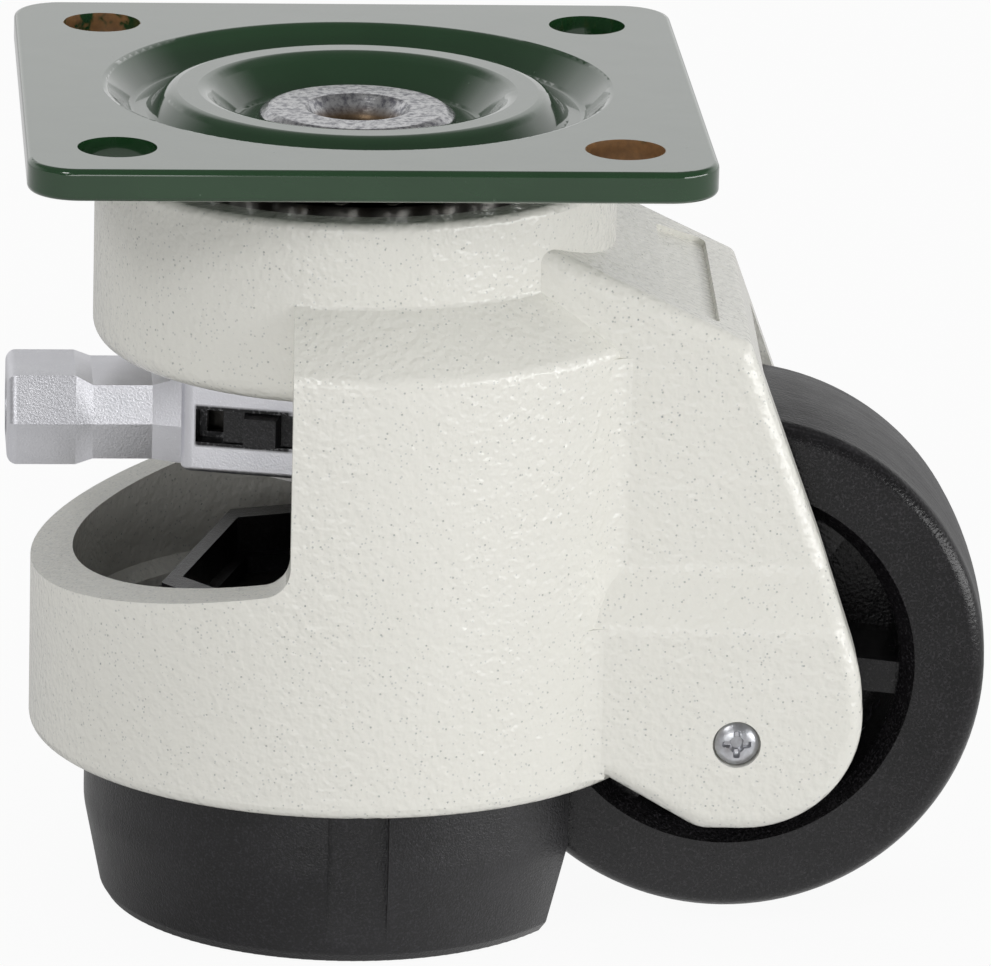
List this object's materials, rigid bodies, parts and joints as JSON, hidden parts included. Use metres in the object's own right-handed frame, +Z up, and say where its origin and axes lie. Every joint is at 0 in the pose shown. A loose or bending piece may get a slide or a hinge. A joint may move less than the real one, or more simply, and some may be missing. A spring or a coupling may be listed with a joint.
{
  "type": "levelling castor",
  "caption": "Swivel castor with a screw-down levelling foot beside the wheel, worked by a short ratchet lever, under a square bolt-on plate.",
  "frame": {"origin": "on the swivel axis, in the mounting plate's top face, at the centre of its four bolt holes", "axes": "+Z up along the swivel axis; the plate's sides run along X and Y; the wheel stands towards +X and the ratchet lever towards -X"},
  "size_m": [0.14, 0.095, 0.1188],
  "materials": {
    "green_paint": "glossy dark green paint on pressed steel",
    "ivory_casting": "ivory powder coat with a fine orange-peel grain on a die casting",
    "ivory_plate": "ivory paint on a turned plate",
    "zinc_steel": "zinc-plated steel",
    "ball_steel": "polished bearing steel, greased",
    "bronze": "plain sintered bronze",
    "black_nylon": "black glass-filled nylon, satin",
    "nut_steel": "dark oiled steel",
    "spring_steel": "dark spring steel",
    "cast_lever": "satin zinc-plated steel casting",
    "selector_black": "black moulded plastic",
    "spindle_steel": "oiled steel thread",
    "foot_nylon": "black glass-filled nylon, worn satin"
  },
  "bodies": {
    "plate": {"top_plate": "green_paint", "kingpin": "zinc_steel", "spacer_sleeve": "zinc_steel", "lower_ball_cup": "zinc_steel"},
    "ball_rows": {"upper_balls": "ball_steel", "lower_balls": "ball_steel"},
    "fork": {"fork_housing": "ivory_casting", "upper_race": "ball_steel", "lower_race": "ball_steel", "thrust_plate": "ivory_plate", "thrust_screws": "zinc_steel", "slide_ring": "bronze", "axle": "zinc_steel", "axle_screws": "zinc_steel", "wheel_washers": "zinc_steel"},
    "wheel_set": {"wheel": "black_nylon", "wheel_bush": "bronze"},
    "nut_set": {"ratchet_nut": "nut_steel", "upper_nut_clip": "spring_steel", "lower_nut_clip": "spring_steel", "keeper_washer": "zinc_steel"},
    "lever_set": {"lever": "cast_lever", "pawl_pin": "zinc_steel", "detent_ball": "ball_steel", "detent_spring": "spring_steel"},
    "pawl_set": {"pawl": "nut_steel"},
    "selector_set": {"selector": "selector_black"},
    "foot_set": {"spindle": "spindle_steel", "foot_insert": "zinc_steel", "foot": "foot_nylon", "foot_bolt": "zinc_steel", "foot_bolt_washer": "zinc_steel"}
  },
  "joints": [
    {"name": "swivel", "type": "hinge", "parent": "plate", "child": "fork", "pos_m": [0, 0, -0.02], "axis": [0, 0, 1], "continuous": true},
    {"name": "ball_orbit", "type": "hinge", "parent": "plate", "child": "ball_rows", "pos_m": [0, 0, -0.00852], "axis": [0, 0, 1], "continuous": true},
    {"name": "wheel_spin", "type": "hinge", "parent": "fork", "child": "wheel_set", "pos_m": [0.05386, -0.00207, -0.0801], "axis": [0.0384, 0.9993, 0], "continuous": true},
    {"name": "foot_slide", "type": "slide", "parent": "fork", "child": "foot_set", "axis": [0, 0, 1], "range_m": [-0.006, 0.007]},
    {"name": "nut_turn", "type": "hinge", "parent": "fork", "child": "nut_set", "pos_m": [0, 0, -0.045], "axis": [0, 0, 1], "range_deg": [-631, 541]},
    {"name": "lever_swing", "type": "hinge", "parent": "fork", "child": "lever_set", "pos_m": [0, 0, -0.0466], "axis": [0, 0, 1], "range_deg": [-60, 60]},
    {"name": "selector_slide", "type": "slide", "parent": "lever_set", "child": "selector_set", "axis": [0.9668, -0.2554, 0], "range_m": [-0.0029, 0.0029]},
    {"name": "pawl_rock", "type": "hinge", "parent": "lever_set", "child": "pawl_set", "pos_m": [-0.0215, 0, -0.0466], "axis": [0, 0, 1], "range_deg": [-9.6, 9.6]}
  ],
  "couplings": [
    {"joint": "ball_orbit", "follows": "swivel", "ratio": 0.5},
    {"joint": "nut_turn", "follows": "foot_slide", "rad_per_m": -1570.8},
    {"joint": "pawl_rock", "follows": "selector_slide", "rad_per_m": 57.2}
  ]
}
